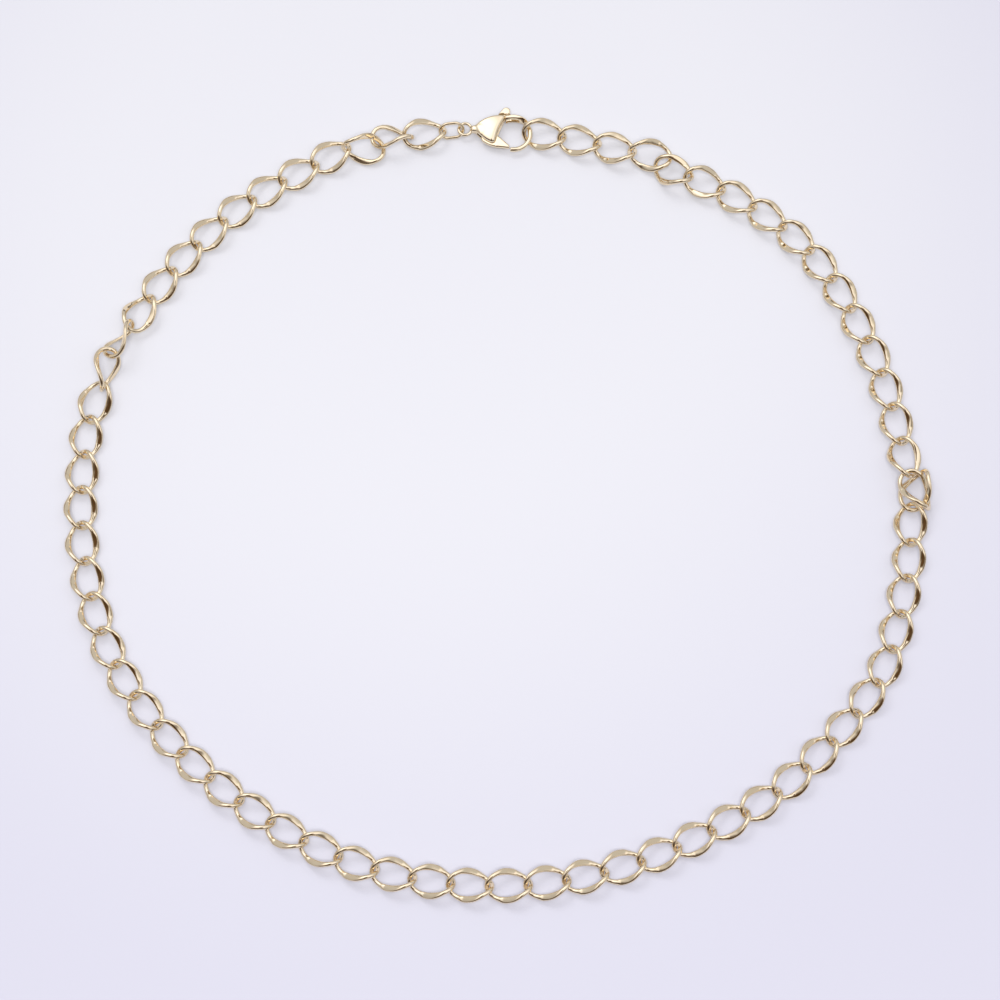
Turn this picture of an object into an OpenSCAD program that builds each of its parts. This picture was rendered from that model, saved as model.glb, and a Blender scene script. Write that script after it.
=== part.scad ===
// A curb chain necklace lying in a loop, closed at the back by a lobster clasp.
// Millimetres. +Z is up from the surface that it lies on, +Y points to the clasp.

/* [Chain] */
// Number of links in the whole chain
link_count = 68; // [60:2:76]
// Outside length of one link
link_length = 8.46; // [8:0.02:9]
// Outside width of one link, before its ends are turned
link_width = 6.2; // [5.8:0.1:6.8]
// Diameter of the wire that the links are made of
wire_d = 0.84; // [0.76:0.02:0.92]
// Free play between two links that pull on each other
link_play = 0.18; // [0.15:0.01:0.24]
// Turn of each end of a link about its long axis
twist_angle = 40; // [38:1:44]
// Squareness of the link's oval, where 2 is an ellipse
oval_power = 2.25; // [2:0.05:2.5]
// Width of the pressed flat on each side of a link
flat_width = 1.24; // [0.9:0.02:1.4]
// Thickness of the wire at the pressed flat
flat_thick = 0.6; // [0.5:0.02:0.8]
// Length of the pressed flat
flat_length = 3; // [2:0.1:3.6]
// Height of the middle of the chain above the surface
chain_mid_z = 1.71; // [1.66:0.01:1.8]

/* [Jump ring] */
// Height of the middle of the jump ring above the surface
ring_mid_z = 1.54; // [1.5:0.02:1.6]
// Outside length of the oval jump ring
ring_length = 4.8; // [4.6:0.1:5.4]
// Outside width of the jump ring
ring_width = 3.6; // [3.4:0.1:4]
// Diameter of the jump ring's wire
ring_wire_d = 0.6; // [0.5:0.02:0.64]
// Lean of the jump ring out of the flat
ring_lean = 54; // [50:1:60]
// Swing of the jump ring towards the last link
ring_swing = 7; // [4:1:10]

/* [Clasp body] */
// Thickness of the clasp at the middle of its body
body_thick = 2.6; // [2.4:0.1:2.8]
// Height of the middle of the clasp above the surface
clasp_mid_z = 1.5; // [1.4:0.05:1.6]
// Length of the body's pointed end, from the clasp's centre
body_tail = 4.6; // [4.4:0.1:5]
// Reach of the body to its back edge
body_back = 2.75; // [2.65:0.05:2.8]
// Reach of the body to its front edge
body_front = 3; // [2.95:0.05:3.1]
// Radius of the body's back edge
back_arc_r = 6.4; // [6.2:0.1:6.8]
// Radius of the body's front edge
front_arc_r = 5; // [4.95:0.05:5.2]
// Radius of the hollow edge that faces the hook's mouth
mouth_arc_r = 10.8; // [10:0.2:12]
// Radius of the dome on each cheek of the body
dome_r = 14.5; // [12:0.5:20]
// Thickness of the spine that joins the cheeks
spine_wall = 0.7; // [0.5:0.05:0.9]
// Radius of the hook, to the middle of its wire
hook_r = 3.07; // [2.95:0.01:3.15]
// Diameter of the hook's wire
hook_wire_d = 0.86; // [0.8:0.02:0.9]
// Hole of the tail ring
tail_hole_d = 1.74; // [1.7:0.02:1.9]
// Diameter of the tail ring's wire
tail_wire_d = 0.56; // [0.5:0.02:0.6]
// Height of the neck between the tail ring and the body
neck_height = 1; // [0.8:0.02:1.1]
// Width of the neck between the tail ring and the body
neck_width = 1.3; // [1:0.1:1.5]

/* [Clasp lever] */
// Reach of the lever beyond the body's front edge
lever_lip = 0.45; // [0.3:0.05:0.5]
// Thickness of the lever
lever_thick = 0.8; // [0.7:0.02:0.84]
// Gap between the lever and each cheek
lever_play = 0.1; // [0.06:0.01:0.12]
// Gap between the gate and the hook's tip
gate_gap = 0.42; // [0.36:0.02:0.5]
// Width of the gate at its tip
gate_tip_w = 0.5; // [0.4:0.05:0.6]
// Radius of the thumb tab
tab_r = 0.75; // [0.65:0.05:0.85]
// Thickness of the thumb tab
tab_thick = 1.5; // [1.2:0.1:1.7]
// Diameter of the hinge pin
pin_d = 0.9; // [0.8:0.02:1]
// Radial gap between the pin and the lever's bore
pin_play = 0.04; // [0.02:0.01:0.06]
// Radial gap between the pin and its seats in the cheeks
seat_play = 0.02; // [0.02:0.01:0.04]

/* [Hidden] */
$fn = 64;
fine = 240;
eps = 0.01;
gold = [0.86, 0.70, 0.42];
gold_deep = [0.78, 0.60, 0.32];

// Where the necklace lies: points of its middle line, clockwise from the clasp
route = [
    [0, 69.4], [20.5, 65.9], [37.5, 59], [54, 47.5], [64.5, 31], [70.5, 12.3],
    [72.3, -6.5], [68.9, -25.8], [63.2, -37.8], [49.7, -52.3], [32.6, -62.6], [14.1, -68.9],
    [-5.5, -70.3], [-24.7, -66.6], [-42.2, -57.6], [-57.2, -44.8], [-68.2, -28.9], [-73.4, -10.2],
    [-73.6, 9.4], [-70.3, 22.5], [-61.6, 38.6], [-48.2, 53.2], [-31.4, 63.5], [-14, 68.6]
];

// Columns of the table below: link number, chain length taken up just before it,
// shift across the chain, lift, roll about its long axis, rise of its far end, swing in the flat
col_link = 0;
col_taken = 1;
col_across = 2;
col_lift = 3;
col_roll = 4;
col_rise = 5;
col_swing = 6;
// Links that lie rolled over or folded against their neighbours
kinks = [
    [0, 0.15, 0, 0.05, 7, 0, -1],
    [1, 0.05, -0.1, 0, 0, 0, 0],
    [2, 0, -0.2, 0.25, 3, 5, 1],
    [3, 0.1, 0.5, 0.5, 27, -5, 11],
    [4, 1.5, -1.05, 0.75, 3, 17, -9],
    [5, 0.45, -0.25, 0.25, 5, -10, 9],
    [6, 0.1, 0, 0, 0, 0, 0],
    [14, 0, 0, 0, 0, 0, 0],
    [15, 0.05, -0.05, 0.7, -6, 10, 3],
    [16, 0.3, 1.3, 0.8, -26, -4, 27],
    [17, 6.85, 1.3, 0.4, 28, -7, -29],
    [18, 0.45, -0.05, -0.1, 2, 0, -4],
    [19, 0, 0, 0, 0, 0, 0],
    [53, 0, 0, 0, 0, 0, 0],
    [54, 0, -0.25, 0.2, 6, 3, -2],
    [55, 0.5, 0, 1.35, -121, 6, 13],
    [56, 0.4, 0.15, 1.35, -62, -1, -5],
    [57, 0.3, -0.1, 0.4, -5, -9, 4],
    [58, 0, 0, 0, 0, 0, 0],
    [63, 0, 0, 0, 0, 0, 0],
    [64, 0, 0.35, 0.2, 1, 3, 8],
    [65, 0.5, -0.4, 0.55, 44, -18, -20],
    [66, 1, 0.4, 0.45, -35, 12, -19],
    [67, 0.7, 0, 0, 0, 0, 0]
];
// Unevenness of the lie of all other links, in degrees of roll and of swing
roll_wobble = 3;
swing_wobble = 1;

// Chain sizes
pitch = link_length - 2 * wire_d - link_play;
half_len = (link_length - wire_d) / 2;
half_wide = (link_width - flat_width) / 2;
flat_taper = 0.8;
stations = 16;
wire_sides = 6;
side_angle = 360 / wire_sides;

// Clasp places, from the clasp's centre: x along the chain, y to the outside of the loop
hook_at = [2.45, -0.75];
back_arc_at = [0.1, body_back - back_arc_r];
front_arc_at = [0.2, front_arc_r - body_front];
mouth_edge_x = -0.84;
mouth_arc_at = [mouth_edge_x + mouth_arc_r, -4.12];
dome_at = [-1, -0.1];
neck_length = 0.35;
neck_y = 0.2;
tail_r = tail_hole_d / 2 + tail_wire_d;
tail_x = -(body_tail + neck_length + tail_r);
pivot = [-1.7, -0.5];
hub_r = 1.25;
arm_start_x = -3.4;
arm_end_x = -0.4;
arm_back_y = -0.9;
gate_start_x = -0.9;
gate_root = [-0.05, -1.4];
gate_rise = 0.45;
tab_arm_from = [pivot + [-0.9, 0.8], pivot + [0.8, -0.8]];
tab_arm_to_x = [-0.2, 1.6];
tab_x = 1.15;
tab_y = body_back + 0.2;
tab_root_x = -0.3;
tab_slope = 50;
tab_round_y = tab_y + 0.6;
slot_h = lever_thick + 2 * lever_play;
slot_start_x = 0.45 - body_tail;
slot_end_x = 1.95;
spine_end_x = -2.35;
pin_length = 1.9;
hook_tip_angle = -100.5;
hook_flare_angle = 40;
root_half_h = 1.1;
root_inset = 0.03;
root_back = 1.4;

// Places where the chain and the jump ring pull on the clasp
hook_inner_x = hook_at[0] + hook_r - hook_wire_d / 2;
clasp_front = hook_inner_x - link_play - wire_d + link_length / 2;
ring_reach = (ring_length - ring_wire_d) / 2;
ring_x = tail_x - tail_hole_d / 2 + link_play + ring_wire_d / 2;
clasp_back = half_len - ring_x + 2 * ring_reach - ring_wire_d / 2 - link_play - wire_d / 2;

function sum(list, k = 0) = k < len(list) ? list[k] + sum(list, k + 1) : 0;
function unit(v) = v / norm(v);
function ease(t) = t <= 0 ? 0 : t >= 1 ? 1 : t * t * (3 - 2 * t);
function kink(i, col) = sum([for (row = kinks) if (row[col_link] == i) row[col]]);
function is_kinked(i) = len([for (row = kinks) if (row[col_link] == i) 1]) > 0;
function taken_up(i) = sum([for (row = kinks) if (row[col_link] <= i) row[col_taken]]);

// The route as a smooth closed curve, measured along its length
route_steps = 12;
route_n = len(route);
function bend(p, q, r, s, u) =
    (2 * q + (r - p) * u + (2 * p - 5 * q + 4 * r - s) * u * u + (3 * q - p - 3 * r + s) * u * u * u) / 2;
function route_point(i, u) =
    let (n = route_n)
    bend(route[(i + n - 1) % n], route[i % n], route[(i + 1) % n], route[(i + 2) % n], u);
curve = [
    for (k = [0 : route_n * route_steps])
        route_point(floor(k / route_steps), (k % route_steps) / route_steps)
];
function curve_step(k) = norm(curve[min(k + 1, len(curve) - 1)] - curve[k]);
run = [for (k = 0, s = 0; k < len(curve); s = s + curve_step(k), k = k + 1) s];
route_length = run[len(run) - 1];
chain_length = clasp_front + (link_count - 1) * pitch - taken_up(link_count) + clasp_back;
lie_scale = chain_length / route_length;
along_x = [for (k = [0 : len(curve) - 1]) [run[k], curve[k][0]]];
along_y = [for (k = [0 : len(curve) - 1]) [run[k], curve[k][1]]];
function on_route(s) = [lookup(s, along_x), lookup(s, along_y)];
function route_at(s) = lie_scale * on_route(s / lie_scale);
function heading_at(s) = let (d = route_at(s + 2) - route_at(s - 2)) atan2(d[1], d[0]);
clasp_at = concat(route_at(0), [clasp_mid_z]);

// One link lies along x: its oval is turned about x, one way at one end and the other way at the other
function oval_x(t) = half_len * sign(cos(t)) * pow(abs(cos(t)), 2 / oval_power);
function oval_y(t) = half_wide * sign(sin(t)) * pow(abs(sin(t)), 2 / oval_power);
function turn_at(t) = -twist_angle * sin(90 * oval_x(t) / half_len);
function middle(t) = [oval_x(t), oval_y(t) * cos(turn_at(t)), oval_y(t) * sin(turn_at(t))];
function pressed(t) = ease((flat_length / 2 + flat_taper - abs(oval_x(t))) / flat_taper);
function half_w(t) = (wire_d + (flat_width - wire_d) * pressed(t)) / 2;
function half_h(t) = (wire_d + (flat_thick - wire_d) * pressed(t)) / 2;
function section(t) =
    let (
        ahead = unit(middle(t + 2) - middle(t - 2)),
        plane = [0, -sin(turn_at(t)), cos(turn_at(t))],
        up = unit(plane - (plane * ahead) * ahead),
        out = cross(ahead, up)
    )
    [for (k = [0 : wire_sides - 1])
        middle(t) + half_w(t) * cos(side_angle * k) * out
            + half_h(t) * sin(side_angle * k) / sin(side_angle) * up];
link_shape = [for (j = [0 : stations - 1]) each section(360 * j / stations)];

function roll_x(p, a) = [p[0], p[1] * cos(a) - p[2] * sin(a), p[1] * sin(a) + p[2] * cos(a)];
function roll_y(p, a) = [p[0] * cos(a) + p[2] * sin(a), p[1], p[2] * cos(a) - p[0] * sin(a)];
function roll_z(p, a) = [p[0] * cos(a) - p[1] * sin(a), p[0] * sin(a) + p[1] * cos(a), p[2]];
function placed_link(i) =
    let (
        s = clasp_front + i * pitch - taken_up(i),
        wobble = is_kinked(i) ? 0 : 1,
        heading = heading_at(s),
        roll = kink(i, col_roll) + wobble * roll_wobble * sin(137 * i),
        swing = kink(i, col_swing) + wobble * swing_wobble * sin(101 * i),
        side = kink(i, col_across) * [-sin(heading), cos(heading)],
        at = concat(route_at(s) + side, [chain_mid_z + kink(i, col_lift)])
    )
    [for (p = link_shape) at + roll_z(roll_y(roll_x(p, roll), -kink(i, col_rise)), heading + swing)];

// Two triangles for each patch between neighbouring sections
link_points = stations * wire_sides;
function corner(j, k) = (j % stations) * wire_sides + k % wire_sides;
link_faces = [for (j = [0 : stations - 1], k = [0 : wire_sides - 1]) each [
    [corner(j, k), corner(j, k + 1), corner(j + 1, k)],
    [corner(j, k + 1), corner(j + 1, k + 1), corner(j + 1, k)]
]];

module links(first, last) {
    polyhedron(
        points = [for (i = [first : last]) each placed_link(i)],
        faces = [for (i = [0 : last - first], f = link_faces) f + link_points * i * [1, 1, 1]]
    );
}

module chain_right() {
    color(gold) links(0, link_count / 2 - 1);
}

module chain_left() {
    color(gold) links(link_count / 2, link_count - 1);
}

module jump_ring() {
    bend_r = (ring_width - ring_wire_d) / 2;
    straight = ring_reach - bend_r;
    color(gold_deep)
    translate([clasp_at[0] + ring_x, clasp_at[1] + neck_y, ring_mid_z])
    rotate([0, 0, ring_swing])
    translate([-ring_reach, 0, 0])
    rotate([ring_lean, 0, 0])
    union() {
        for (side = [-1, 1]) {
            translate([side * straight, 0, 0])
            rotate([0, 0, side * 90 - 180])
            rotate_extrude(angle = 180)
            translate([bend_r, 0])
            circle(d = ring_wire_d);
            translate([-straight, side * bend_r, 0])
            rotate([0, 90, 0])
            cylinder(d = ring_wire_d, h = 2 * straight);
        }
    }
}

// The part of the body between its back edge, its front edge and the hollow mouth edge
module body_outline() {
    intersection() {
        translate(back_arc_at) circle(r = back_arc_r, $fn = fine);
        translate(front_arc_at) circle(r = front_arc_r, $fn = fine);
        translate([-body_tail, -2 * body_front]) square([3 * body_tail, 4 * body_front]);
    }
}

module cheeks() {
    difference() {
        intersection() {
            translate([0, 0, -body_thick / 2])
            linear_extrude(body_thick)
            difference() {
                body_outline();
                translate(mouth_arc_at) circle(r = mouth_arc_r, $fn = fine);
            }
            translate([dome_at[0], dome_at[1], body_thick / 2 - dome_r]) sphere(r = dome_r, $fn = fine);
            translate([dome_at[0], dome_at[1], dome_r - body_thick / 2]) sphere(r = dome_r, $fn = fine);
        }
        // room for the lever: inside the spine, and right through the back past the spine's end
        translate([0, 0, -slot_h / 2])
        linear_extrude(slot_h)
        intersection() {
            translate(back_arc_at) circle(r = back_arc_r - spine_wall, $fn = fine);
            translate([slot_start_x, -2 * body_front]) square([3 * body_tail, 4 * body_front]);
        }
        translate([spine_end_x, 0, -slot_h / 2]) cube([slot_end_x - spine_end_x, body_tail, slot_h]);
        // seats of the hinge pin, closed on the outside
        translate([pivot[0], pivot[1], -pin_length / 2 - seat_play])
        cylinder(r = pin_d / 2 + seat_play, h = pin_length + 2 * seat_play);
    }
}

module hook() {
    root_y = hook_r * sin(hook_flare_angle);
    root_top = hook_r + hook_wire_d / 2;
    translate([hook_at[0], hook_at[1], 0]) {
        rotate([0, 0, hook_tip_angle])
        rotate_extrude(angle = hook_flare_angle + 5 - hook_tip_angle)
        translate([hook_r, 0])
        circle(d = hook_wire_d);
        // flat root of the hook, thick where it leaves the cheeks
        difference() {
            intersection() {
                translate([0, 0, -root_half_h])
                linear_extrude(2 * root_half_h)
                difference() {
                    circle(r = hook_r + hook_wire_d / 2 - root_inset);
                    circle(r = hook_r - hook_wire_d / 2 + root_inset);
                }
                rotate([90, 0, 90])
                translate([0, 0, -root_back])
                linear_extrude(root_back + hook_r + hook_wire_d)
                polygon([
                    [root_y, -hook_wire_d / 2],
                    [root_top, -root_half_h],
                    [root_top, root_half_h],
                    [root_y, hook_wire_d / 2]
                ]);
            }
            translate([-hook_r, -hook_r, -slot_h / 2])
            cube([hook_r + slot_end_x - hook_at[0], 2 * hook_r + hook_wire_d, slot_h]);
        }
    }
}

module tail_ring() {
    translate([tail_x, neck_y, 0])
    rotate_extrude()
    translate([tail_r - tail_wire_d / 2, 0])
    circle(d = tail_wire_d);
    translate([-body_tail - neck_length - tail_wire_d / 2, neck_y - neck_width / 2, -neck_height / 2])
    cube([neck_length + tail_wire_d, neck_width, neck_height]);
}

module clasp_body() {
    color(gold)
    translate(clasp_at)
    union() {
        cheeks();
        hook();
        tail_ring();
    }
}

// The lever seen from above: hub, front arm, gate and the arm up to the thumb tab
module lever_outline() {
    edge_r = front_arc_r + lever_lip;
    gate_tip = [hook_at[0] + hook_r * cos(hook_tip_angle) - gate_gap, hook_at[1] - hook_r + gate_rise];
    gate_start_y = front_arc_at[1] - sqrt(pow(edge_r, 2) - pow(gate_start_x - front_arc_at[0], 2));
    translate(pivot) circle(r = hub_r);
    intersection() {
        translate(front_arc_at) circle(r = edge_r);
        translate([arm_start_x, -2 * body_front])
        square([arm_end_x - arm_start_x, 2 * body_front + arm_back_y]);
    }
    polygon([
        [gate_start_x, gate_start_y + eps],
        gate_tip - [0, gate_tip_w / 2],
        gate_tip + [0, gate_tip_w / 2],
        gate_root,
        [gate_start_x, arm_back_y - eps]
    ]);
    polygon([
        tab_arm_from[0],
        [tab_arm_to_x[0], tab_y + eps],
        [tab_arm_to_x[1], tab_y + eps],
        tab_arm_from[1]
    ]);
}

module clasp_lever() {
    color(gold_deep)
    translate(clasp_at)
    union() {
        difference() {
            translate([0, 0, -lever_thick / 2]) linear_extrude(lever_thick) lever_outline();
            translate([pivot[0], pivot[1], -lever_thick])
            cylinder(r = pin_d / 2 + pin_play, h = 2 * lever_thick);
        }
        // thumb tab
        translate([0, 0, -tab_thick / 2])
        linear_extrude(tab_thick)
        union() {
            translate([tab_x, tab_round_y]) circle(r = tab_r);
            polygon([
                [tab_root_x, tab_y],
                [tab_x - tab_r * sin(tab_slope), tab_round_y + tab_r * cos(tab_slope) - eps],
                [tab_x + tab_r - 2 * eps, tab_round_y],
                [tab_x + tab_r - 2 * eps, tab_y]
            ]);
        }
    }
}

module clasp_pin() {
    color(gold_deep)
    translate(clasp_at + [pivot[0], pivot[1], 0])
    cylinder(d = pin_d, h = pin_length, center = true);
}

chain_right();
chain_left();
jump_ring();
clasp_body();
clasp_lever();
clasp_pin();
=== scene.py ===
import math

import bpy
import numpy as np
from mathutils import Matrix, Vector


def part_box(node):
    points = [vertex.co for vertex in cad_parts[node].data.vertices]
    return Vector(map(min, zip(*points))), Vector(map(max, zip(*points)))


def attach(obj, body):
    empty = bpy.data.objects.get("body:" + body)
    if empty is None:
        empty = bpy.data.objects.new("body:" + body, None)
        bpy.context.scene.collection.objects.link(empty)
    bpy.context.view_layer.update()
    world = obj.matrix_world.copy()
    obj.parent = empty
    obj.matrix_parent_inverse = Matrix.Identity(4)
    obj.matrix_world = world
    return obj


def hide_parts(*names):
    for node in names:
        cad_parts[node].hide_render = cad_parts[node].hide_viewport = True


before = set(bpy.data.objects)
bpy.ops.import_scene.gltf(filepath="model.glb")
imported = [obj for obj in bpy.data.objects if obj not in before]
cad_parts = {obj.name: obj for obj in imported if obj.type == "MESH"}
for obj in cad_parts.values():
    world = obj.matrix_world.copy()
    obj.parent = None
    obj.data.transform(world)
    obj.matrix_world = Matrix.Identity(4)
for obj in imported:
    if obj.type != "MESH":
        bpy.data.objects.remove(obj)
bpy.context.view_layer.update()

mm = 0.001
weldPlaces = 4      # decimals of a mm to which two points agree that are one
tiny = 1e-9


def linearColour(hexValue):
    # sRGB hex to the linear values that Blender's sockets take
    parts = [int(hexValue.lstrip("#")[i:i + 2], 16) / 255 for i in (0, 2, 4)]
    return tuple(c / 12.92 if c <= 0.04045 else ((c + 0.055) / 1.055) ** 2.4 for c in parts) + (1.0,)


def addNode(tree, kind, settings=None, links=None):
    # settings: a property by name, or an input by name or number; links: an input and what feeds it
    node = tree.nodes.new(kind)
    for key, value in (settings or {}).items():
        if isinstance(key, str) and hasattr(node, key):
            setattr(node, key, value)
        else:
            node.inputs[key].default_value = value
    for key, source in (links or {}).items():
        tree.links.new(source, node.inputs[key])
    return node


def meshObject(name, points, faces, smooth=True):
    # points in mm
    mesh = bpy.data.meshes.new(name)
    mesh.from_pydata((np.asarray(points) * mm).tolist(), [], np.asarray(faces).tolist())
    mesh.update()
    if smooth:
        mesh.polygons.foreach_set("use_smooth", [True] * len(mesh.polygons))
    piece = bpy.data.objects.new(name, mesh)
    bpy.context.scene.collection.objects.link(piece)
    return piece


def standsFor(piece, node, body, material):
    # the piece takes the node's place on its body
    piece.data.materials.append(material)
    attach(piece, body)
    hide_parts(node)
    print(piece.name, len(piece.data.polygons), "faces")


def tubeFaces(rings, sides, offset=0):
    # quads of a closed loop of wire: rings of points, joined end to end
    j, k = np.meshgrid(np.arange(rings), np.arange(sides), indexing="ij")

    def at(ring, side):
        return offset + (ring % rings) * sides + side % sides

    return np.stack([at(j, k), at(j + 1, k), at(j + 1, k + 1), at(j, k + 1)], -1).reshape(-1, 4)


def nodeSolids(name):
    # the loose solids of a CAD node, each as its own welded points in mm
    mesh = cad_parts[name].data
    points = np.zeros(len(mesh.vertices) * 3)
    mesh.vertices.foreach_get("co", points)
    corners = np.zeros(len(mesh.loops), int)
    mesh.loops.foreach_get("vertex_index", corners)
    points = (points.reshape(-1, 3) / mm).round(weldPlaces)
    welded, back = np.unique(points, axis=0, return_inverse=True)
    triangles = back.ravel()[corners.reshape(-1, 3)]
    label = np.arange(len(welded))
    while True:
        # each point takes the lowest label of its triangles, until nothing changes
        lowest = label[triangles].min(1)
        spread = label.copy()
        for corner in range(3):
            np.minimum.at(spread, triangles[:, corner], lowest)
        spread = spread[spread]
        if (spread == label).all():
            return [welded[label == k] for k in np.unique(label)]
        label = spread


def placeOf(points):
    # a link or ring looks the same turned half round any of its own axes,
    # so the spread of its points is enough to place it
    centre = points.mean(0)
    axes = np.linalg.eigh(np.cov((points - centre).T))[1]
    turn = axes[:, ::-1]
    if np.linalg.det(turn) < 0:
        turn[:, 2] *= -1
    return centre, turn


def ease(t):
    # smooth step from 0 to 1
    t = np.clip(t, 0, 1)
    return t * t * (3 - 2 * t)


# gold plate as it comes out of the polishing barrel; the other two finishes change some of it
goldLook = {
    "pale": "#F3E3C6",       # 14 carat pale yellow gold plate under white light
    "warm": "#EED9B4",
    "patchSize": 2.6,        # mm, slow change of tone over the plate
    "roughness": (0.035, 0.08),     # between the scuffs and in them
    "scuffSize": 0.12,       # mm, hairline scuffs, drawn coarser than real ones so that they show
    "scuffSpan": (0.35, 0.7),       # of the noise, from no scuff to a full one
    "rippleSize": 0.55,      # mm, soft unevenness left by the polishing barrel
    "rippleDepth": 0.004,    # mm
}


def polishedGoldPlate(name, look):
    # pale gold, electroplated on polished brass: a bright, slightly soft mirror
    # with slow ripples and faint patches of warmer tone
    material = bpy.data.materials.new(name)
    material.use_nodes = True
    tree = material.node_tree
    tree.nodes.clear()
    place = addNode(tree, "ShaderNodeTexCoord").outputs["Object"]
    patches = addNode(tree, "ShaderNodeTexNoise", {
        "Scale": 1 / (look["patchSize"] * mm), "Detail": 2.0}, {"Vector": place})
    tone = addNode(tree, "ShaderNodeMix", {
        "data_type": "RGBA", 6: linearColour(look["pale"]), 7: linearColour(look["warm"])},
        {0: patches.outputs["Fac"]})
    scuffs = addNode(tree, "ShaderNodeTexNoise", {
        "Scale": 1 / (look["scuffSize"] * mm), "Detail": 3.0, "Roughness": 0.6}, {"Vector": place})
    gloss = addNode(tree, "ShaderNodeMapRange", {
        "From Min": look["scuffSpan"][0], "From Max": look["scuffSpan"][1],
        "To Min": look["roughness"][0], "To Max": look["roughness"][1]},
        {"Value": scuffs.outputs["Fac"]})
    ripple = addNode(tree, "ShaderNodeTexNoise", {
        "Scale": 1 / (look["rippleSize"] * mm), "Detail": 1.0}, {"Vector": place})
    bump = addNode(tree, "ShaderNodeBump", {
        "Strength": 1.0, "Distance": look["rippleDepth"] * mm}, {"Height": ripple.outputs["Fac"]})
    shader = addNode(tree, "ShaderNodeBsdfPrincipled", {"Metallic": 1.0}, {
        "Base Color": tone.outputs[2], "Roughness": gloss.outputs["Result"],
        "Normal": bump.outputs["Normal"]})
    addNode(tree, "ShaderNodeOutputMaterial", None, {"Surface": shader.outputs[0]})
    return material


# links and jump ring, bright from the barrel: clear reflections that waver a little
chainGold = polishedGoldPlate("barrelPolishedGoldPlate", goldLook)
# clasp, buffed once more by hand: it mirrors more clearly and looks paler
claspGold = polishedGoldPlate("mirrorPolishedGoldPlate", {
    **goldLook, "pale": "#F5E7CC", "roughness": (0.035, 0.07), "rippleDepth": 0.003})
# pin, only tumbled: satin and a little darker
pinGold = polishedGoldPlate("tumbledGoldPlate", {
    **goldLook, "pale": "#EACF9E", "roughness": (0.16, 0.3)})
print("gold plate made")


# one link, in mm
linkShape = {
    "length": 8.46, "width": 6.2, "wire": 0.84,     # as in the part's source
    "turn": 40, "ovalPower": 2.25,                  # degrees of twist to each end, fullness of the oval
    "calmMiddle": 0.12,                             # the sides twist less than the shoulders
    "flatWidth": 1.24, "flatThick": 0.62,
    "flatReach": 0.6, "widthFade": 2.1,             # from the middle of a side
    "stepAt": 0.9, "stepFade": 0.6,                 # the pressed face ends in a step at one end
    "tailAt": -0.3, "tailFade": 1.7,                # and runs out slowly at the other
    "flatSquareness": 2.9,                          # 2 is round, more is flatter
    "rings": 104, "sides": 24,
    "closerRings": 1.4, "closerReach": 2.2,         # more rings on the pressed sides than round the ends
    "fineSteps": 2880, "headingStep": 0.035,        # round the loop: points to measure by, radians each way
    "shrink": 0.95, "scale": 0.991,                 # keep the wire inside its solid's reach
}


def linkPoints(s):
    halfLength = (s["length"] - s["wire"]) / 2
    halfWidth = (s["width"] - s["flatWidth"]) / 2

    def middle(t):
        # the wire's centre line at angle t, and how far the oval is turned there
        c, d = np.cos(t), np.sin(t)
        x = halfLength * np.sign(c) * np.abs(c) ** (2 / s["ovalPower"])
        y = halfWidth * np.sign(d) * np.abs(d) ** (2 / s["ovalPower"])
        share = x / halfLength
        twist = np.sin(np.pi / 2 * share) - s["calmMiddle"] * np.sin(np.pi * share)
        turn = -np.radians(s["turn"]) * twist
        return np.stack([x, y * np.cos(turn), y * np.sin(turn)], -1), turn

    # rings at even distances along the wire, closer on the pressed sides
    fine = np.linspace(0, 2 * np.pi, s["fineSteps"] + 1)
    line = middle(fine)[0]
    steps = np.linalg.norm(np.diff(line, axis=0), axis=1)
    steps *= 1 + s["closerRings"] * (np.abs(line[1:, 0]) < s["closerReach"])
    weight = np.concatenate([[0], np.cumsum(steps)])
    t = np.interp(np.linspace(0, weight[-1], s["rings"], endpoint=False), weight, fine)
    at, turn = middle(t)
    ahead = middle(t + s["headingStep"])[0] - middle(t - s["headingStep"])[0]
    ahead /= np.linalg.norm(ahead, axis=1)[:, None]
    up = np.stack([0 * turn, -np.sin(turn), np.cos(turn)], -1)
    up -= (up * ahead).sum(1)[:, None] * ahead
    up /= np.linalg.norm(up, axis=1)[:, None]
    out = np.cross(ahead, up)
    along = at[:, 0] * np.sign(at[:, 1])

    def pressedFace(side):
        # 1 on the flat, 0 on the round wire; the two faces have their steps at opposite ends
        step = ease((s["stepAt"] + s["stepFade"] - side * along) / s["stepFade"])
        tail = ease((side * along - s["tailAt"] + s["tailFade"]) / s["tailFade"])
        return step * tail

    wide = ease((s["flatReach"] + s["widthFade"] - np.abs(at[:, 0])) / s["widthFade"])
    halfW = (s["wire"] + (s["flatWidth"] - s["wire"]) * wide) / 2 * s["shrink"]
    a = np.linspace(0, 2 * np.pi, s["sides"], endpoint=False)
    w, h = np.zeros((2, s["rings"], s["sides"]))
    for side in (1, -1):
        # the upper half of each ring of points, then the lower
        pressed = pressedFace(side)
        halfH = (s["wire"] + (s["flatThick"] - s["wire"]) * pressed) / 2 * s["shrink"]
        power = 2 / (2 + (s["flatSquareness"] - 2) * pressed)[:, None]
        own = side * np.sin(a) > -tiny
        w[:, own] = (np.sign(np.cos(a)) * np.abs(np.cos(a)) ** power * halfW[:, None])[:, own]
        h[:, own] = (np.sign(np.sin(a)) * np.abs(np.sin(a)) ** power * halfH[:, None])[:, own]
    return s["scale"] * (at[:, None] + w[..., None] * out[:, None] + h[..., None] * up[:, None])


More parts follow.
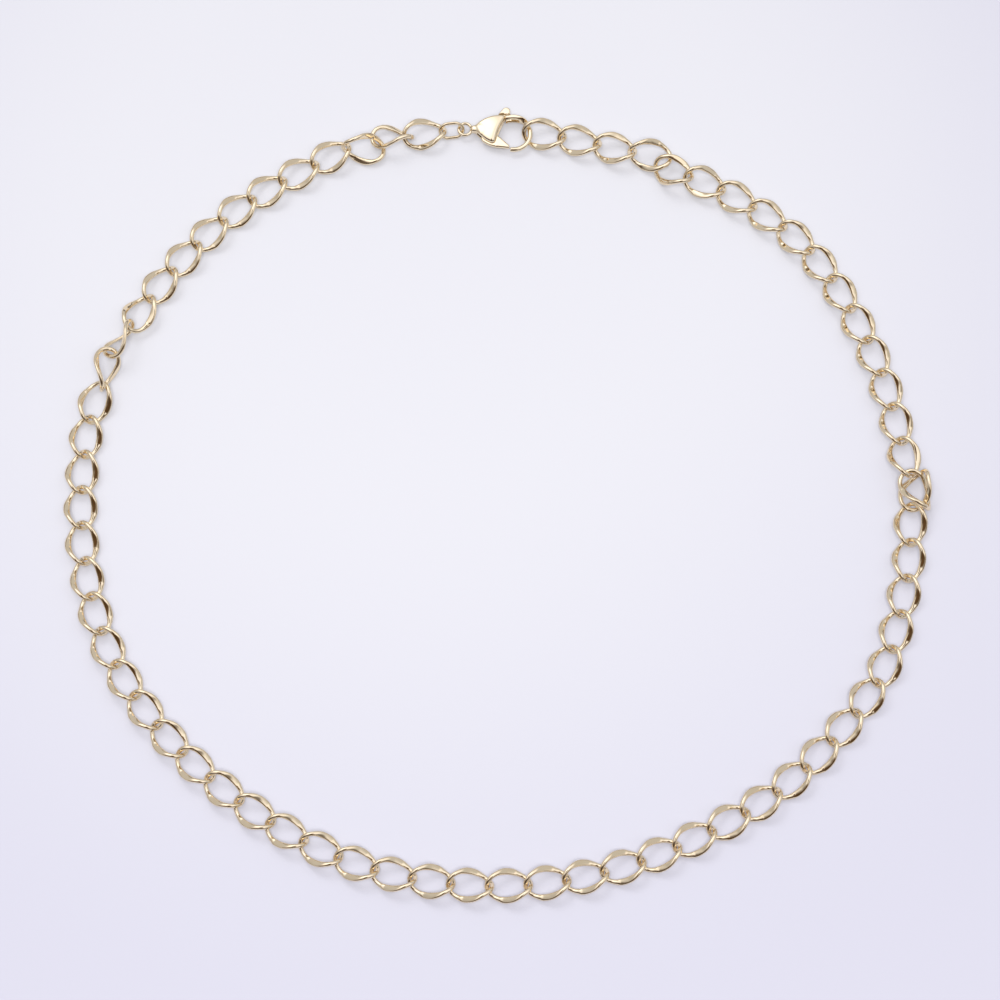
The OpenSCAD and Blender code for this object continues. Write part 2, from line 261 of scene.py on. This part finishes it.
def chainPiece(name, node):
    # a link on each of the node's solids
    link = linkPoints(linkShape).reshape(-1, 3)
    points, faces = [], []
    for i, solid in enumerate(nodeSolids(node)):
        centre, turn = placeOf(solid)
        points.append(link @ turn.T + centre)
        faces.append(tubeFaces(linkShape["rings"], linkShape["sides"], i * len(link)))
    piece = meshObject(name, np.vstack(points), np.vstack(faces))
    standsFor(piece, node, "necklace", chainGold)


chainPiece("chainRightLinks", "chain_right")
chainPiece("chainLeftLinks", "chain_left")


# jump ring, in mm: two half circles joined by two straights
ringShape = {
    "length": 4.8, "width": 3.6, "wire": 0.6,       # as in the part's source
    "shrink": 0.99,                                 # keeps the wire inside its solid
    "rings": 96, "sides": 24,
}


def ringPiece(s):
    turn = placeOf(nodeSolids("jump_ring")[0])[1]
    low, high = [np.array(v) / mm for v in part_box("jump_ring")]
    r = (s["width"] - s["wire"]) / 2
    straight, bend = s["length"] - s["wire"] - 2 * r, np.pi * r
    # along one straight, round one bend, and back the same way
    run = np.linspace(0, 2 * (straight + bend), s["rings"], endpoint=False)
    bent = np.clip(run - straight, 0, bend) + np.clip(run - 2 * straight - bend, 0, bend)
    angle = np.pi / 2 + bent / r
    across = straight / 2 - np.clip(run, 0, straight) + np.clip(run - straight - bend, 0, straight)
    out = np.stack([np.cos(angle), np.sin(angle), 0 * angle], -1)
    middle = r * out + np.stack([across, 0 * across, 0 * across], -1)
    a = np.linspace(0, 2 * np.pi, s["sides"], endpoint=False)
    up = np.array([0, 0, 1])
    section = np.cos(a)[None, :, None] * out[:, None] + np.sin(a)[None, :, None] * up
    points = middle[:, None] + s["wire"] / 2 * s["shrink"] * section
    points = points.reshape(-1, 3) @ turn.T + (low + high) / 2
    piece = meshObject("jumpRingWire", points, tubeFaces(s["rings"], s["sides"]))
    standsFor(piece, "jump_ring", "necklace", chainGold)


ringPiece(ringShape)


# the cast pieces are distance fields in mm, negative inside, with one skin on their zero
def joined(a, b, soft):
    # union with a fillet of about that size
    h = np.maximum(soft - np.abs(a - b), 0) / soft
    return np.minimum(a, b) - h * h * soft / 4


def shared(a, b, soft):
    # intersection with a rounded edge
    return -joined(-a, -b, soft)


def circle(x, y, arc):
    # signed distance to a circle: x, y, radius
    return np.hypot(x - arc[0], y - arc[1]) - arc[2]


def polygon(x, y, corners):
    # signed distance to a plain polygon
    corners = np.asarray(corners, float)
    best = np.full(x.shape, np.inf)
    inside = np.zeros(x.shape, bool)
    for (ax, ay), (bx, by) in zip(corners, np.roll(corners, -1, 0)):
        ex, ey = bx - ax, by - ay
        t = np.clip(((x - ax) * ex + (y - ay) * ey) / (ex * ex + ey * ey), 0, 1)
        best = np.minimum(best, np.hypot(x - ax - t * ex, y - ay - t * ey))
        if ey != 0:
            inside ^= ((ay > y) != (by > y)) & (x < ex * (y - ay) / ey + ax)
    return np.where(inside, -best, best)


skinRules = {
    "cell": 0.07,           # mm
    "rounds": 3,            # times that the points are pulled onto the surface
    "step": 0.2,            # cells, to feel the slope
    "longestMove": 0.5,     # cells
    "leastSlope": 0.2,      # squared, so that no point is thrown far where two surfaces meet
}


def skinOf(field, low, high, rules):
    # a point in each cell that the surface crosses, and a quad round each grid edge that it crosses
    cell = rules["cell"]
    axes = [np.arange(a - 2 * cell, b + 3 * cell, cell) for a, b in zip(low, high)]
    grid = np.meshgrid(*axes, indexing="ij")
    f = field(*grid)
    cells = np.array(f.shape) - 1

    def part(values, start):
        return values[tuple(slice(start[i], start[i] + cells[i]) for i in range(3))]

    total = np.zeros(tuple(cells) + (3,))
    count = np.zeros(tuple(cells))
    for axis in range(3):
        others = [a for a in range(3) if a != axis]
        for u in (0, 1):
            for v in (0, 1):
                start = [0, 0, 0]
                start[others[0]], start[others[1]] = u, v
                end = list(start)
                end[axis] += 1
                f0, f1 = part(f, start), part(f, end)
                crossed = (f0 < 0) != (f1 < 0)
                share = np.where(crossed, f0 / np.where(crossed, f0 - f1, 1), 0)
                for c in range(3):
                    place = part(grid[c], start) + (share * cell if c == axis else 0)
                    total[..., c] += np.where(crossed, place, 0)
                count += crossed
    live = count > 0
    number = np.full(live.shape, -1)
    number[live] = np.arange(live.sum())
    points = total[live] / count[live][:, None]
    inner = f < 0
    quads = []
    for axis in range(3):
        a, b = [(1, 2), (2, 0), (0, 1)][axis]
        first = [slice(1, -1)] * 3
        first[axis] = slice(0, -1)
        second = list(first)
        second[axis] = slice(1, None)
        where = np.argwhere(inner[tuple(first)] != inner[tuple(second)])
        base = where + 1
        base[:, axis] -= 1
        corner = []
        for da, db in ((-1, -1), (0, -1), (0, 0), (-1, 0)):
            at = base.copy()
            at[:, a] += da
            at[:, b] += db
            corner.append(number[tuple(at.T)])
        quad = np.stack(corner, 1)
        outward = inner[tuple(first)][tuple(where.T)]
        quads.append(np.where(outward[:, None], quad, quad[:, ::-1]))
    step, longest = rules["step"] * cell, rules["longestMove"] * cell
    for _ in range(rules["rounds"]):
        slope = np.stack([
            field(*(points + step * side).T) - field(*(points - step * side).T) for side in np.eye(3)
        ], 1) / (2 * step)
        steep = np.maximum((slope ** 2).sum(1), rules["leastSlope"])
        points = points - np.clip(slope * (field(*points.T) / steep)[:, None], -longest, longest)
    return points, np.vstack(quads)


# clasp body, in mm from the clasp's own centre: x along the chain, y to the outside, z up
claspShape = {
    "reach": ((-7.9, -4.4, -1.4), (6.1, 2.9, 1.4)),     # the box that the skin lies in
    "thick": 2.6, "dome": (-1, -0.1, 14.5),             # over both cheeks; the dome's x, y, radius
    "backArc": (0.1, -3.65, 6.4), "backRim": 0.4,       # x, y, radius; a rim is how softly an edge is rounded
    "frontArc": (0.2, 2.0, 5.0), "frontRim": 0.6,
    "mouthArc": (9.96, -4.12, 10.8), "mouthRim": 1.0,
    "tail": 4.6, "tailRim": 0.3,
    "bluntEnd": ((-4.75, 0.2, 0.5, 0.65), (-3.6, -0.18, 1.0, 1.05)),    # from, to: x, y, radius, half height
    "bluntRim": 0.6, "bluntFillet": 0.3,
    "slotHalf": 0.5, "slotX": (-4.15, 1.95), "slotRim": 0.1,
    "spineWall": 0.7, "spineEndX": -2.35,
    "hook": (2.45, -0.75, 3.07), "hookWire": 0.86, "hookAngles": (-100.5, 45), "hookEndRim": 0.16,
    "rootFrom": 40, "rootHalf": 1.1, "rootRise": 0.6, "rootBack": 1.4, "rootRim": 0.3,
    "groove": (0.5, 0.18, 3.5), "grooveRim": 0.12,      # half height, depth past the wire's middle, end in x
    "fillet": 0.12,                                     # where the root and the hook meet the cheeks
    "neckY": 0.2, "neckLength": 0.35, "neckWidth": 1.2, "neckHeight": 1.3,
    "neckEndRim": 0.2, "neckRim": 0.6, "neckFillet": 0.4,
    "ringHole": 1.74, "ringWire": 0.56, "ringFillet": 0.2,
    "pivot": (-1.7, -0.5), "pin": 0.9,
}

# the pin stands on the pivot, and the body is as thick above as below the clasp's middle
pinLow, pinHigh = [np.array(v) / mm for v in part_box("clasp_pin")]
bodyLow, bodyHigh = [np.array(v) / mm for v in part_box("clasp_body")]
claspAt = (bodyLow + bodyHigh) / 2
claspAt[:2] = (pinLow + pinHigh)[:2] / 2 - np.array(claspShape["pivot"])


def cheeksField(x, y, z):
    # both cheeks and the spine between them, cut out for the lever
    s = claspShape
    domeX, domeY, domeR = s["dome"]
    depth = np.abs(z) + domeR - s["thick"] / 2
    body = np.sqrt((x - domeX) ** 2 + (y - domeY) ** 2 + depth ** 2) - domeR
    body = shared(body, circle(x, y, s["frontArc"]), s["frontRim"])
    body = shared(body, circle(x, y, s["backArc"]), s["backRim"])
    body = shared(body, -x - s["tail"], s["tailRim"])
    body = shared(body, -circle(x, y, s["mouthArc"]), s["mouthRim"])
    # blunt end that widens from the ring's neck into the cheeks
    (x0, y0, r0, h0), (x1, y1, r1, h1) = s["bluntEnd"]
    t = np.clip((x - x0) / (x1 - x0), 0, 1)
    end = np.hypot(x - np.clip(x, x0, x1), y - y0 - t * (y1 - y0)) - r0 - t * (r1 - r0)
    end = shared(end, np.abs(z) - h0 - t * (h1 - h0), s["bluntRim"])
    body = joined(body, end, s["bluntFillet"])
    # room for the lever inside the spine, and through the back past the spine's end
    backX, backY, backR = s["backArc"]
    slot = np.maximum(circle(x, y, (backX, backY, backR - s["spineWall"])), s["slotX"][0] - x)
    through = np.maximum(np.maximum(s["spineEndX"] - x, x - s["slotX"][1]), -y)
    slot = np.maximum(np.minimum(slot, through), np.abs(z) - s["slotHalf"])
    return shared(body, -slot, s["slotRim"])


def hookField(x, y, z):
    # round wire that flares to a flat root over the cheeks' end, with a groove along its inside
    s = claspShape
    hookX, hookY, hookR = s["hook"]
    hx, hy = x - hookX, y - hookY
    rho = np.hypot(hx, hy)
    lowAngle, highAngle = np.radians(s["hookAngles"])
    angle = np.arctan2(hy, hx) - (lowAngle + highAngle) / 2
    angle = np.abs((angle + np.pi) % (2 * np.pi) - np.pi)
    wireR = s["hookWire"] / 2
    pastEnd = rho * (angle - (highAngle - lowAngle) / 2)
    hook = shared(np.hypot(rho - hookR, z) - wireR, pastEnd, s["hookEndRim"])
    rootY = hookR * np.sin(np.radians(s["rootFrom"]))
    rise = ease((hy - rootY) / (hookR + wireR - rootY) / s["rootRise"])
    half = wireR + (s["rootHalf"] - wireR) * rise
    root = shared(np.abs(rho - hookR) - wireR, np.abs(z) - half, s["rootRim"])
    root = np.maximum(np.maximum(root, rootY - hy), -s["rootBack"] - hx)
    root = shared(root, -np.maximum(x - s["slotX"][1], np.abs(z) - s["slotHalf"]), s["slotRim"])
    grooveHalf, grooveDepth, grooveEnd = s["groove"]
    groove = np.maximum(np.maximum(np.abs(z) - grooveHalf, rho - hookR - grooveDepth), x - grooveEnd)
    return shared(root, -groove, s["grooveRim"]), hook


def claspField(x, y, z):
    s = claspShape
    root, hook = hookField(x, y, z)
    body = joined(joined(cheeksField(x, y, z), root, s["fillet"]), hook, s["fillet"])
    # tail ring, cast with its neck
    ringX = -(s["tail"] + s["neckLength"] + s["ringHole"] / 2 + s["ringWire"])
    ringR = (s["ringHole"] + s["ringWire"]) / 2
    ring = np.hypot(circle(x, y, (ringX, s["neckY"], ringR)), z) - s["ringWire"] / 2
    neckX = -s["tail"] - s["neckLength"] / 2
    neck = shared(np.abs(x - neckX) - (s["neckLength"] + s["ringWire"]) / 2,
                  np.abs(y - s["neckY"]) - s["neckWidth"] / 2, s["neckEndRim"])
    neck = shared(neck, np.abs(z) - s["neckHeight"] / 2, s["neckRim"])
    return joined(joined(body, neck, s["neckFillet"]), ring, s["ringFillet"])


def castPiece(name, field, shape, node, body):
    # the field's skin, moved to the clasp's place
    points, quads = skinOf(field, *shape["reach"], skinRules)
    piece = meshObject(name, points + claspAt, quads)
    standsFor(piece, node, body, claspGold)


castPiece("claspBody", claspField, claspShape, "clasp_body", "necklace")


# clasp lever, in mm from the clasp's own centre
leverShape = {
    "reach": ((-3.6, -3.6, -0.9), (2.1, 4.5, 0.9)),
    "thick": 0.8, "plateRim": 0.32, "hub": 1.25, "boreRoom": 0.04, "fillet": 0.15,
    "lip": 0.45,                                          # how far the arm shows past the cheeks
    "armX": (-3.4, -0.4), "armBackY": -0.9, "armEndRim": 0.3,
    "gateStartX": -0.9, "gateRoot": (-0.05, -1.4),
    "gateTip": 0.56, "gateRise": 0.45, "gateGap": 0.16,   # the tip's height, its place from the hook's end
    "tabArm": ((-2.6, 0.3), (-0.9, -1.3)), "tabArmToX": (-0.2, 1.6), "tabOver": 0.2,
    "tabX": 1.15, "tabY": 2.95, "tabRise": 0.6, "tabR": 0.75, "tabThick": 1.5,
    "tabRootX": -0.3, "tabSlope": 50, "tabFillet": 0.05, "tabRim": 0.3,
}


def plateField(x, y, z):
    # hub, arm, gate and the thumb tab's arm, cut from one plate
    s, c = leverShape, claspShape
    frontX, frontY, frontR = c["frontArc"]
    edgeR = frontR + s["lip"]
    tipAngle = math.radians(c["hookAngles"][0])
    gateX = c["hook"][0] + c["hook"][2] * math.cos(tipAngle) - s["gateGap"]
    gateY = c["hook"][1] - c["hook"][2] + s["gateRise"]
    startY = frontY - math.sqrt(edgeR ** 2 - (s["gateStartX"] - frontX) ** 2)
    hub = circle(x, y, (*c["pivot"], s["hub"]))
    arm = np.maximum(circle(x, y, (frontX, frontY, edgeR)), y - s["armBackY"])
    arm = shared(arm, np.maximum(s["armX"][0] - x, x - s["armX"][1]), s["armEndRim"])
    gate = polygon(x, y, [
        (s["gateStartX"], startY), (gateX, gateY - s["gateTip"] / 2),
        (gateX, gateY + s["gateTip"] / 2), s["gateRoot"], (s["gateStartX"], s["armBackY"])])
    tabArmY = s["tabY"] + s["tabOver"]
    tabArm = polygon(x, y, [
        s["tabArm"][0], (s["tabArmToX"][0], tabArmY), (s["tabArmToX"][1], tabArmY), s["tabArm"][1]])
    flat = joined(joined(joined(hub, arm, s["fillet"]), gate, s["fillet"]), tabArm, s["fillet"])
    return shared(flat, np.abs(z) - s["thick"] / 2, s["plateRim"])


def leverField(x, y, z):
    s, c = leverShape, claspShape
    roundY = s["tabY"] + s["tabRise"]
    slope = math.radians(s["tabSlope"])
    tabEndX = s["tabX"] + s["tabR"]
    tab = joined(circle(x, y, (s["tabX"], roundY, s["tabR"])), polygon(x, y, [
        (s["tabRootX"], s["tabY"]),
        (s["tabX"] - s["tabR"] * math.sin(slope), roundY + s["tabR"] * math.cos(slope)),
        (tabEndX, roundY), (tabEndX, s["tabY"])]), s["tabFillet"])
    tab = shared(tab, np.abs(z) - s["tabThick"] / 2, s["tabRim"])
    bore = circle(x, y, (*c["pivot"], c["pin"] / 2 + s["boreRoom"]))
    return np.maximum(joined(plateField(x, y, z), tab, s["fillet"]), -bore)


castPiece("claspLever", leverField, leverShape, "clasp_lever", "lever")

# the pin keeps its own solid
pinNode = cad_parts["clasp_pin"]
pinNode.data.materials.clear()
pinNode.data.materials.append(pinGold)
print("pin plated")


floorLook = {
    "size": 3.0,                            # m
    # painted light: the paper's colour is lighter near one spot and darker away from it, a painted pool of
    # light
    "near": "#BABABF", "far": "#AFAEB9",
    "paintedLightCentre": (-0.015, 0.06, 0),          # m, the middle of the painted pool of light
    "paintedLightFall": (0.05, 0.16),                   # m from there, where the painted light starts and stops falling off
    "roughness": 0.9, "gloss": 0.2,
    "grainSize": 1.1, "grainDepth": 0.05,   # mm, the paper's tooth, drawn coarser than real to show
    "grainStrength": 0.1,
}


def coatedPaperWithPaintedLight(look):
    # matte coated paper, a little bluish and with no gloss; a pool of light is painted into its colour, a
    # slow fall of tone away from the bright spot
    material = bpy.data.materials.new("matteCoatedPaperPaintedLight")
    material.use_nodes = True
    tree = material.node_tree
    tree.nodes.clear()
    place = addNode(tree, "ShaderNodeTexCoord").outputs["Object"]
    # painted pool of light: the paper's colour darkens with distance from the bright spot
    away = addNode(tree, "ShaderNodeVectorMath", {"operation": "DISTANCE", 1: look["paintedLightCentre"]}, {0: place})
    paintedLightFall = addNode(tree, "ShaderNodeMapRange", {
        "interpolation_type": "SMOOTHSTEP", "From Min": look["paintedLightFall"][0], "From Max": look["paintedLightFall"][1]},
        {"Value": away.outputs["Value"]})
    paintedLightTone = addNode(tree, "ShaderNodeMix", {
        "data_type": "RGBA", 6: linearColour(look["near"]), 7: linearColour(look["far"])},
        {0: paintedLightFall.outputs["Result"]})
    grain = addNode(tree, "ShaderNodeTexNoise", {
        "Scale": 1 / (look["grainSize"] * mm), "Detail": 2.0}, {"Vector": place})
    bump = addNode(tree, "ShaderNodeBump", {
        "Strength": look["grainStrength"], "Distance": look["grainDepth"] * mm},
        {"Height": grain.outputs["Fac"]})
    paper = addNode(tree, "ShaderNodeBsdfPrincipled", {
        "Roughness": look["roughness"], "Specular IOR Level": look["gloss"]}, {
        "Base Color": paintedLightTone.outputs[2], "Normal": bump.outputs["Normal"]})
    addNode(tree, "ShaderNodeOutputMaterial", None, {"Surface": paper.outputs[0]})
    return material


floorCorners = np.array([[-1, -1, 0], [1, -1, 0], [1, 1, 0], [-1, 1, 0]]) * floorLook["size"] / 2 / mm
floor = meshObject("floor", floorCorners, [[0, 1, 2, 3]], smooth=False)
floor.data.materials.append(coatedPaperWithPaintedLight(floorLook))
print("floor laid")


cameraLook = {
    "at": (0.0, -0.1771, 0.5614), "to": (0.0, -0.001, 0.0), "far": 10,     # m
    "view": 17.1,       # degrees across the picture
    "sensor": 36,       # mm
}

camera = bpy.data.objects.new("camera", bpy.data.cameras.new("camera"))
bpy.context.scene.collection.objects.link(camera)
camera.location = cameraLook["at"]
camera.rotation_euler = (Vector(cameraLook["to"]) - camera.location).to_track_quat("-Z", "Y").to_euler()
camera.data.sensor_width = cameraLook["sensor"]
camera.data.lens = cameraLook["sensor"] / 2 / math.tan(math.radians(cameraLook["view"]) / 2)
camera.data.clip_end = cameraLook["far"]
bpy.context.scene.camera = camera
print("camera placed")


lampLooks = {
    # at and size in m, power in W
    "overheadSoftbox": {"at": (-0.22, 0.42, 0.78), "size": (0.42, 0.34), "power": 1.6, "colour": "#FFFFFF"},
    # lights the floor along the view, where no shadow shows
    "topFill": {"at": (0.0, -0.27, 0.87), "size": (0.3, 0.3), "power": 7.5, "colour": "#FFFFFF"},
}

for name, look in lampLooks.items():
    data = bpy.data.lights.new(name, "AREA")
    data.shape = "RECTANGLE"
    data.size, data.size_y = look["size"]
    data.energy = look["power"]
    data.color = linearColour(look["colour"])[:3]
    lamp = bpy.data.objects.new(name, data)
    lamp.visible_glossy = False     # the tent gives the metal its reflections
    bpy.context.scene.collection.objects.link(lamp)
    lamp.location = look["at"]
    lamp.rotation_euler = (-Vector(look["at"])).to_track_quat("-Z", "Y").to_euler()
print("lamps hung")

# a white tent all round: it lights the scene softly, and the metal mirrors it
tentLook = {
    "colour": "#FAFAFF",
    "walls": 0.66, "ceiling": 1.25,             # brightness
    "ceilingEdge": (34, 60),                    # degrees from straight up, where it turns into the walls
    "hot": ((-0.3, 0.42, 0.85), 4, 26, 0.75),   # towards, inner and outer degrees, how much brighter
    "gap": (3, 12, 0.25),                       # degrees up from the table, and the light left there
    "darkColour": "#5A4530",                    # warm dark outside the tent
    "dark": [
        # towards, degrees of the inner and outer edge, how much of the outside shows
        ((0.0, -0.30, 0.954), 9, 15, 1.0),      # round opening over the piece
        ((-0.1, -0.78, 0.60), 17, 32, 1.0),     # open front
        ((-0.6, -0.68, 0.42), 14, 30, 0.85),    # and its two corners
        ((0.6, -0.68, 0.42), 12, 26, 0.75),
        ((-0.85, -0.4, 0.3), 10, 50, 0.2),      # thinner cloth on one side
    ],
}


def lightTent(look):
    world = bpy.data.worlds.new("lightTent")
    bpy.context.scene.world = world
    world.use_nodes = True
    tree = world.node_tree
    tree.nodes.clear()
    towards = addNode(tree, "ShaderNodeTexCoord").outputs["Generated"]

    def patch(direction, inner, outer, low, high):
        # low outside the outer angle round a direction, high inside the inner one
        near = addNode(tree, "ShaderNodeVectorMath", {
            "operation": "DOT_PRODUCT", 1: Vector(direction).normalized()}, {0: towards})
        return addNode(tree, "ShaderNodeMapRange", {
            "interpolation_type": "SMOOTHSTEP", "From Min": math.cos(math.radians(outer)),
            "From Max": math.cos(math.radians(inner)), "To Min": low, "To Max": high},
            {"Value": near.outputs["Value"]}).outputs["Result"]

    direction, inner, outer, more = look["hot"]
    glow = patch(direction, inner, outer, 0.0, more)
    light = patch((0, 0, 1), *look["ceilingEdge"], look["walls"], look["ceiling"])
    light = addNode(tree, "ShaderNodeMath", {"operation": "ADD"}, {0: light, 1: glow}).outputs["Value"]
    gapLow, gapHigh, gapLight = look["gap"]
    gap = patch((0, 0, 1), 90 - gapHigh, 90 - gapLow, gapLight, 1.0)
    light = addNode(tree, "ShaderNodeMath", {"operation": "MULTIPLY"}, {0: light, 1: gap}).outputs["Value"]
    tone = None
    for direction, inner, outer, share in look["dark"]:
        tone = addNode(tree, "ShaderNodeMix", {
            "data_type": "RGBA", 6: linearColour(look["colour"]), 7: linearColour(look["darkColour"])},
            {0: patch(direction, inner, outer, 0.0, share), **({6: tone} if tone else {})}).outputs[2]
    sky = addNode(tree, "ShaderNodeBackground", None, {"Color": tone, "Strength": light})
    addNode(tree, "ShaderNodeOutputWorld", None, {"Surface": sky.outputs[0]})


lightTent(tentLook)
bpy.context.scene.view_settings.view_transform = "Standard"
print("tent raised")
